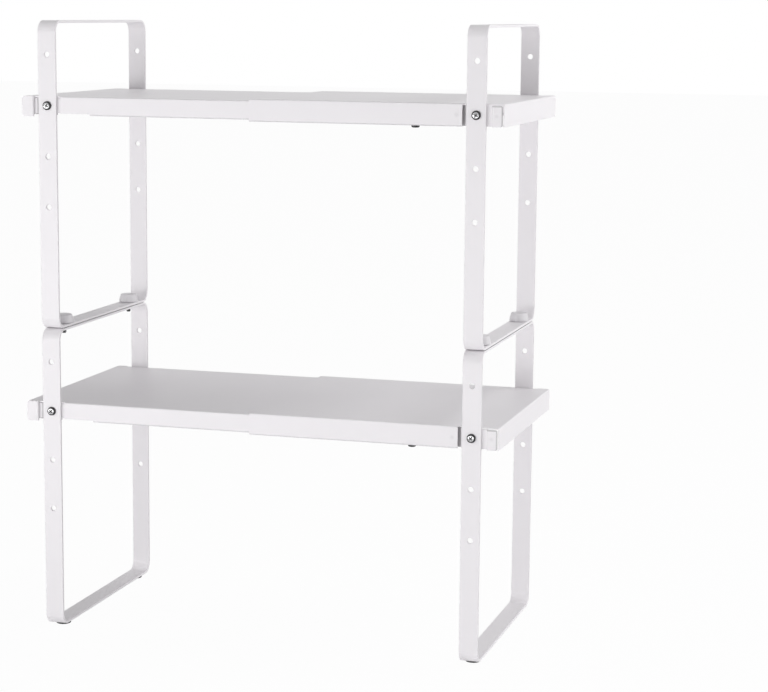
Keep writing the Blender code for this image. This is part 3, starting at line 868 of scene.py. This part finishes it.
def bracket_line(shape, tray, size, strap):
    """The bracket's plan: wing, groove or slight step, pocket floor, step and corner tab."""
    wall = tray.sheet / 2
    recess = strap.thickness + POCKET_GAP + wall
    floor_end = tray.pocket - size.floor_setback
    groove_end = floor_end + size.groove_width
    wing_end = groove_end + size.wing
    wing = shape.setback + tray.sheet + POCKET_GAP + wall
    groove = size.groove_depth - wall
    if shape.inside:
        behind = [(-groove_end - wall, wing), (-groove_end - wall, groove),
                  (wall - floor_end, groove), (wall - floor_end, recess)]
    else:
        behind = [(-tray.pocket, wing), (-floor_end, recess)]
    step = tray.tab_start + wall
    tab = [(step, recess), (step, wall), (shape.reach, wall)]
    return BentLine([(-wing_end, wing), *behind, *tab], size.bend)


def bracket_parts(shape, tray, size, strap):
    """A formed bracket: the plan carried up, cut lower behind the strap, with rounded tab corners.

    The point of (s, z) is the plan at s, with z drawn in near the tab's end by the corner's circle.
    """
    line = bracket_line(shape, tray, size, strap)
    ends = line.breaks
    total = ends[-1]
    before_floor, floor_start, floor_end, step_end, tab_start = ends[[-8, -6, -5, -3, -2]]
    middle = (floor_start + floor_end) / 2
    hole = middle - line.at(middle)[0][0]
    strap_edge = hole + shape.strap_half
    step = tab_start - size.bend * np.arccos(1 - (tray.sheet / 2 + POCKET_GAP) / size.bend)
    weld = total - (shape.reach - size.weld_offset)
    round_off = shape.corner
    corner = total - round_off * (1 - np.sin(np.linspace(0, QUARTER, BEND_STEPS + 1)))
    heel = ends[2] if shape.inside else hole - shape.strap_half
    low, high, clear = shape.low, shape.high, shape.clear
    sill = low + shape.relief
    tab_edge = TAB_EDGE_WIDTH * np.arange(1, TAB_EDGE_ROWS + 1)
    s = lines(line.stops(BEND_STEPS), [step, heel], corner, mark_lines(weld, tray),
              strap_edge + STRAP_SHADOW_WIDTH * STRAP_SHADOW_SHARES, total - tab_edge, spread(hole, FLOOR_SQUARE))
    z = lines([low, sill, sill + SILL_WIDTH, -clear, clear, high], high - tab_edge,
              mark_lines(0, tray), spread(0, FLOOR_SQUARE))
    centre = (low + high) / 2

    def place(s, z):
        points, normal = line.at(s)
        inset = np.clip(s - (total - round_off), 0, round_off)
        drawn = round_off - np.sqrt(round_off ** 2 - inset ** 2)
        height = centre + (z - centre) * (1 - drawn / (high - centre))
        sink = shape.inside * dimple(s, z, weld, 0, tray)
        u, v = np.moveaxis(points - sink[..., None] * normal, -1, 0)
        x = shape.strap_x + shape.side * u
        return np.stack((x, shape.face * (shape.front - v), shape.centre_z + height), -1)

    def kept(s, z):
        """The tab has the full height, the floor starts at the sill, and the rest ends clear of the tray."""
        return ((s > step) | ((z < clear) & (z > sill))) & ((s > heel) | (z > -clear))

    def inside_shade(s, z):
        """Painted shade in the groove, in the weld's mark and along the tab's edges."""
        groove = (s > ends[2]) & (s < before_floor)
        from_edge = np.minimum(total - s, high - z) / TAB_EDGE_WIDTH
        edge = (s > step_end) * np.clip(TAB_EDGE_ROWS - from_edge, 0, 1)
        mark = dimple(s, z, weld, 0, tray) / tray.dimple_depth
        return np.maximum.reduce((GROOVE_SHADE * groove, TAB_EDGE_SHADE * edge, WELD_SHADE * mark))

    def outside_shade(s, z):
        """A painted shadow of the strap on the floor beside it, and painted shade on the step up to the tab
        and along the floor's lower end.
        """
        rise = (s > floor_end) & (s < step_end)
        away = np.abs(s - strap_edge) / STRAP_SHADOW_WIDTH
        strap_shadow = np.clip((1 - away) / (1 - STRAP_SHADOW_CORE_SHARE), 0, 1)
        sill_shadow = (s < floor_end) * np.clip(1 - (z - sill) / SILL_WIDTH, 0, 1)
        return np.maximum.reduce((STEP_SHADE * rise, STRAP_SHADOW_LEVEL * strap_shadow, SILL_SHADE * sill_shadow))

    shade = inside_shade if shape.inside else outside_shade
    return panel(s, z, place, kept, [(hole, 0, FLOOR_SQUARE, strap.hole_radius)], shade)


class ORGANIZER_OT_brackets(bpy.types.Operator):
    """Make the corner brackets that hold the straps in their pockets"""

    bl_idname = "organizer.brackets"
    bl_label = "Corner brackets"

    def execute(self, context):
        tray = settings("tray")
        size = settings("bracket")
        for tier, side, face in product(TIERS, SIDES, FACES):
            shape = bracket_shape(tier, side, face, tray, size)
            parts = bracket_parts(shape, tray, size, settings("strap"))
            show(f"bracket_{tier}_{side}_{face}", parts, "white_coat", f"{side}_frame",
                 f"{tier}_{side}_{face}_bracket", sheet_modifiers(tray))
        return {"FINISHED"}


# Fasteners, made along Z with the head's seat or the nut's lower face on z = 0

# The angles round a fastener, a zero for each of them, and a row of zeros where it closes
TURN = np.linspace(0, 2 * np.pi, SCREW_SIDES, endpoint=False)
ROUND = 0 * TURN
TIP = np.zeros((1, SCREW_SIDES))
WALL_SHARE = 0.09
SLOT_SHARE = 0.25
SLOPE_SHARE = 0.55
RECESS_SHARE = 0.62
# Painted dark reflection round a screw head's rim and painted shade in its cross recess
RIM_SHARE = 0.60
RIM_END_SHARE = 0.80
RECESS_SHADE = 0.75
DOME_POWER = 3.2
THREAD_SHARE = 0.55
TIP_SHARE = 0.30
FACE_SHARE = 0.96
CHAMFER_ANGLE = np.radians(30)
SPIN_STEP = 2.4


def thread_rows(length, pitch):
    """Heights of the rows of a thread, from z = 0 up."""
    return np.linspace(0, length, max(2, round(THREAD_STEPS * length / pitch)))[:, None]


def thread(crest, pitch, height):
    """Radius of a rounded helix of depth d: crest - d (1 + cos(2 pi z / pitch - t)) / 2."""
    return crest - THREAD_SHARE * pitch * (1 + np.cos(2 * np.pi * height / pitch - TURN)) / 2


def shank_rows(shank, pitch, length, both_ends=False):
    """A threaded shank below z = 0 with a chamfered tip: radii, heights and how deep in the thread, which is
    painted as shade.
    """
    rise = thread_rows(length, pitch) - length
    from_end = np.minimum(rise + length, -rise) if both_ends else rise + length
    radius = np.minimum(thread(shank, pitch, rise), shank * (1 - TIP_SHARE) + from_end)
    return radius, rise + ROUND, (shank - radius) / (THREAD_SHARE * pitch)


def slot(along, across, reach, depth):
    """Depth of one slot of a cross recess, which gets shallower outwards and has steep walls."""
    wall = reach * WALL_SHARE
    half = reach * SLOT_SHARE
    inside = np.clip((half - np.abs(across)) / wall, 0, 1) * np.clip((reach - np.abs(along)) / wall, 0, 1)
    return inside * depth * (1 - SLOPE_SHARE * np.abs(along) / reach)


def screw_part(head, height, reach, shank, pitch, length):
    """A pan-head screw: a threaded shank, and a dome z = h (1 - (r / R)^p)^(1 / p) less its cross recess."""
    radius, rise, root_shade = shank_rows(shank, pitch, length)
    dome = head * np.sin(np.linspace(QUARTER, 0, DOME_ROWS))[:, None]
    level = height * (1 - (dome / head) ** DOME_POWER) ** (1 / DOME_POWER)
    x = dome * np.cos(TURN)
    y = dome * np.sin(TURN)
    depth = RECESS_SHARE * height
    recess = np.maximum(slot(x, y, reach, depth), slot(y, x, reach, depth))
    # Painted dark reflection round the head's rim, and painted shade in the cross recess and the thread's
    # roots
    rim = np.clip((dome / head - RIM_SHARE) / (RIM_END_SHARE - RIM_SHARE), 0, 1) + ROUND
    radii = np.concatenate((TIP, radius, dome + ROUND))
    heights = np.concatenate((TIP - length, rise, level - recess))
    shade = np.concatenate((TIP, root_shade, np.maximum(rim, RECESS_SHADE * recess / depth)))
    return turned(radii, heights, SCREW_SIDES, shade)


def screw_in(box, axis, way, head_height, cross, shank, pitch, spin):
    """A screw that fills a box, with its head at the box's far end along a signed axis."""
    length = box.size[axis] - head_height
    screw = screw_part(box.size[0] / 2, head_height, cross, shank, pitch, length)
    return placed(screw, box.face(axis, way, length), axis, way, spin)


def nut_part(flats, height, bore, pitch):
    """A hexagon nut: radius a / cos(angle from the flat's middle), with its corners chamfered by a cone."""
    sector = 2 * np.pi / HEX_SIDES
    outside = flats / 2 / np.cos((TURN + sector / 2) % sector - sector / 2)
    face = flats / 2 * FACE_SHARE
    drop = (outside - face) * np.tan(CHAMFER_ANGLE)
    rise = thread_rows(height, pitch)
    radius = np.maximum(thread(bore, pitch, rise), bore - np.minimum(rise, height - rise))
    radii = np.concatenate((radius, face + TIP, outside[None], outside[None], face + TIP))
    heights = np.concatenate((rise + ROUND, height + TIP, height - drop[None], drop[None], TIP))
    points, _, _ = turned(radii, heights, SCREW_SIDES)
    return part(points, quads(len(points), SCREW_SIDES, round_rows=True, round_columns=True))


class ORGANIZER_OT_leg_screws(bpy.types.Operator):
    """Make the pan-head screws through the loops, and their nuts"""

    bl_idname = "organizer.leg_screws"
    bl_label = "Leg screws and nuts"

    def execute(self, context):
        size = settings("fastener")
        for number, (tier, side, face) in enumerate(product(TIERS, SIDES, FACES), 1):
            self.fasten(f"{tier}_{side}_{face}", f"{side}_frame", FACES[face], size, number * SPIN_STEP)
        return {"FINISHED"}

    def fasten(self, corner, body, way, size, spin):
        box = Box(f"{corner}_screw")
        screw = screw_in(box, 1, way, size.head_height, size.cross, size.shank, size.pitch, spin)
        show(f"screw_{corner}", [screw], "chrome", body, f"{corner}_screw")
        box = Box(f"{corner}_nut")
        nut = nut_part(min(box.size[0], box.size[2]), box.size[1], size.shank + size.play, size.pitch)
        nut = placed(nut, box.face(1, way), 1, way)
        show(f"nut_{corner}", [nut], "chrome", body, f"{corner}_nut")


class ORGANIZER_OT_lock_screws(bpy.types.Operator):
    """Make the lock screws under the outer trays"""

    bl_idname = "organizer.lock_screws"
    bl_label = "Lock screws"

    def execute(self, context):
        size = settings("fastener")
        for number, (tier, face) in enumerate(product(TIERS, FACES), 1):
            node = f"{tier}_{face}_lock_screw"
            screw = screw_in(Box(node), 2, -1, size.lock_head_height, size.lock_cross, size.lock_shank,
                             size.lock_pitch, number * SPIN_STEP)
            show(f"lock_screw_{tier}_{face}", [screw], "chrome", "right_frame", node)
        return {"FINISHED"}


# Knobs, studs and feet

SOFT_EDGE = 0.0003
DISH_DEPTH = 0.00025
GROOVE_SHARES = ((0.52, 0), (0.55, 1), (0.63, 1), (0.66, 0))


def knob_part(radius, height, stud, socket, size):
    """A tapered knob: skirt, draft, rounded edge, a shallow dish on top and a blind socket below."""
    hem = arc((radius - SOFT_EDGE, SOFT_EDGE), SOFT_EDGE, -QUARTER, 0, EDGE_STEPS)
    crown = arc((size.top_radius - size.rounding, height - size.rounding), size.rounding, 0, QUARTER)
    dish_radius = size.top_radius - size.rounding
    r = np.linspace(dish_radius, 0, ARC_STEPS + 1)[1:]
    dish = np.stack((r, height - DISH_DEPTH * (1 - (r / dish_radius) ** 2)), -1)
    inner = [(0, socket), (stud, socket), (stud, 0)]
    profile = np.concatenate((inner, hem, [(radius, size.skirt)], crown, dish))
    return turned(profile[:, 0], profile[:, 1], ROUND_SIDES)


def stud_part(shank, pitch, length):
    """A threaded stud from z = 0 down, with both ends chamfered."""
    radius, rise, root_shade = shank_rows(shank, pitch, length, both_ends=True)
    radii = np.concatenate((TIP, radius, TIP))
    heights = np.concatenate((TIP - length, rise, TIP))
    # Painted shade in the thread's roots
    return turned(radii, heights, SCREW_SIDES, np.concatenate((TIP, root_shade, TIP)))


def foot_part(radius, height, edge):
    """A round pad with a rounded lower edge and a shallow moulded ring below."""
    hem = arc((radius - edge, edge), edge, -QUARTER, 0)
    groove = [(radius * place, SOFT_EDGE * raised) for place, raised in GROOVE_SHARES]
    profile = np.concatenate(([(0, 0)], groove, hem, [(radius, height), (0, height)]))
    return turned(profile[:, 0], profile[:, 1], ROUND_SIDES)


class ORGANIZER_OT_knobs(bpy.types.Operator):
    """Make the knobs and their threaded studs"""

    bl_idname = "organizer.knobs"
    bl_label = "Knobs and studs"

    def execute(self, context):
        size = settings("fastener")
        for number, (side, face) in enumerate(product(SIDES, FACES), 1):
            body = f"{side}_{face}_thumbscrew"
            box = Box(f"{side}_{face}_knob")
            stud_box = Box(f"{side}_{face}_stud")
            socket = stud_box.high[2] + POCKET_GAP - box.low[2]
            knob = knob_part(box.size[0] / 2, box.size[2], size.shank + POCKET_GAP, socket, settings("knob"))
            knob = placed(knob, box.face(2, 1))
            show(f"knob_{side}_{face}", [knob], "white_plastic", body, f"{side}_{face}_knob")
            length = stud_box.size[2]
            stud = stud_part(size.shank, size.pitch, length)
            stud = placed(stud, stud_box.face(2, 1, length), spin=number * SPIN_STEP)
            show(f"stud_{side}_{face}", [stud], "chrome", body, f"{side}_{face}_stud")
        return {"FINISHED"}


class ORGANIZER_OT_feet(bpy.types.Operator):
    """Make the rubber feet"""

    bl_idname = "organizer.feet"
    bl_label = "Feet"

    def execute(self, context):
        for side, face in product(SIDES, FACES):
            box = Box(f"{side}_{face}_foot")
            foot = foot_part(box.size[0] / 2, box.size[2], settings("knob").foot_edge)
            foot = placed(foot, box.face(2, 1))
            show(f"foot_{side}_{face}", [foot], "black_rubber", f"{side}_frame", f"{side}_{face}_foot")
        return {"FINISHED"}


# Stage

IMAGE_WIDTH = 768
FOCAL_PIXELS = 2150.2
SENSOR_WIDTH = 36.0
CAMERA_PLACE = (0.69446, -2.06277, 0.62495)
CAMERA_YAW = np.radians(16.165)
CAMERA_PITCH = np.radians(8.852)
CAMERA_ROLL = np.radians(-0.508)
FLOOR_SIZE = 30.0
FLOOR_DROP = 0.0004

# Each lamp's place, the point that it is turned to, and its width and height
LAMPS = {
    "front": ((-0.1, -2.2, 0.22), (0.0, 0.0, 0.25), (2.6, 0.5)),
    "left": ((-1.5, -2.0, 0.25), (0.0, 0.0, 0.25), (1.4, 0.5)),
    "right": ((2.2, -0.9, 0.5), (0.2, 0.0, 0.35), (1.2, 1.2)),
    "low": ((-0.3, -1.3, 0.12), (0.0, 0.0, 0.3), (2.0, 0.2)),
    "end": ((2.4, 0.4, 0.6), (0.2, 0.0, 0.35), (1.2, 1.2)),
    "top": ((1.5, 0.5, 2.0), (0.1, 0.0, 0.3), (1.2, 1.2)),
}


def make_floor(stage):
    mesh = bpy.data.meshes.new("floor")
    corners = FLOOR_SIZE / 2 * np.array(((-1, -1, 0), (1, -1, 0), (1, 1, 0), (-1, 1, 0)))
    mesh.from_pydata((corners - (0, 0, FLOOR_DROP)).tolist(), [], [(0, 1, 2, 3)])
    floor = linked("floor", mesh)
    shader = Shader(bpy.data.materials.new("pale floor"))
    matt = shader.node("BsdfDiffuse", {"Color": (*stage.floor, 1)})
    shader.backed(matt, "Emission", stage.backdrop_share, "OutputMaterial")
    mesh.materials.append(shader.owner)


def make_world(stage):
    world = bpy.data.worlds.new("studio")
    bpy.context.scene.world = world
    shader = Shader(world)
    soft = shader.node("Background", {"Color": WHITE, "Strength": stage.ambient})
    shader.backed(soft, "Background", 1.0, "OutputWorld")


def look_axes(forward):
    """Right, up and back vectors of something that looks forward."""
    forward = np.asarray(forward, float) / np.linalg.norm(forward)
    right = np.cross(forward, (0, 0, 1))
    right /= np.linalg.norm(right)
    return np.array((right, np.cross(right, forward), -forward))


def place_in_scene(name, data, place, axes):
    """A lamp or camera at a place, turned by its axes."""
    made = linked(name, data)
    made.location = place
    made.rotation_euler = Matrix(axes.T.tolist()).to_euler()
    return made


def make_lamps(stage):
    for name, (place, target, spread_out) in LAMPS.items():
        data = bpy.data.lights.new(f"{name} lamp", "AREA")
        data.shape = "RECTANGLE"
        data.size, data.size_y = spread_out
        data.energy = getattr(stage, name)
        lamp = place_in_scene(f"{name}_lamp", data, place, look_axes(np.array(target) - np.array(place)))
        lamp.visible_camera = False


def make_camera():
    data = bpy.data.cameras.new("camera")
    data.sensor_width = SENSOR_WIDTH
    data.lens = FOCAL_PIXELS * SENSOR_WIDTH / IMAGE_WIDTH
    level = np.cos(CAMERA_PITCH)
    axes = look_axes((-np.sin(CAMERA_YAW) * level, np.cos(CAMERA_YAW) * level, -np.sin(CAMERA_PITCH)))
    axes[:2] = np.array(Matrix.Rotation(CAMERA_ROLL, 2)) @ axes[:2]
    bpy.context.scene.camera = place_in_scene("camera", data, CAMERA_PLACE, axes)


class ORGANIZER_OT_stage(bpy.types.Operator):
    """Make the pale floor, the studio light and the camera"""

    bl_idname = "organizer.stage"
    bl_label = "Stage"

    def execute(self, context):
        stage = settings("stage")
        make_floor(stage)
        make_world(stage)
        make_lamps(stage)
        make_camera()
        context.scene.view_settings.view_transform = "Standard"
        return {"FINISHED"}


OPERATORS = (
    ORGANIZER_OT_loops, ORGANIZER_OT_trays, ORGANIZER_OT_brackets, ORGANIZER_OT_leg_screws,
    ORGANIZER_OT_lock_screws, ORGANIZER_OT_knobs, ORGANIZER_OT_feet, ORGANIZER_OT_stage,
)
GROUPS = {
    "strap": StrapSettings, "tray": TraySettings, "bracket": BracketSettings,
    "fastener": FastenerSettings, "knob": KnobSettings,
    "finish": FinishSettings, "stage": StageSettings,
}


class ORGANIZER_PT_panel(bpy.types.Panel):
    """Lists the organizer's settings and its makers"""

    bl_label = "Shelf organizer"
    bl_space_type = "VIEW_3D"
    bl_region_type = "UI"
    bl_category = "Organizer"

    def draw(self, context):
        for group in GROUPS:
            column = self.layout.box().column()
            owner = settings(group)
            for name in owner.bl_rna.properties.keys():
                if name not in ("rna_type", "name"):
                    column.prop(owner, name)
        for operator in OPERATORS:
            self.layout.operator(operator.bl_idname)


CLASSES = (*GROUPS.values(), *OPERATORS, ORGANIZER_PT_panel)


def register():
    for made in CLASSES:
        bpy.utils.register_class(made)
    for name, group in GROUPS.items():
        setattr(bpy.types.Scene, f"organizer_{name}", bpy.props.PointerProperty(type=group))


def unregister():
    for name in GROUPS:
        delattr(bpy.types.Scene, f"organizer_{name}")
    for made in reversed(CLASSES):
        bpy.utils.unregister_class(made)


def main():
    register()
    for operator in OPERATORS:
        family, action = operator.bl_idname.split(".")
        getattr(getattr(bpy.ops, family), action)()


if __name__ == "__main__":
    main()
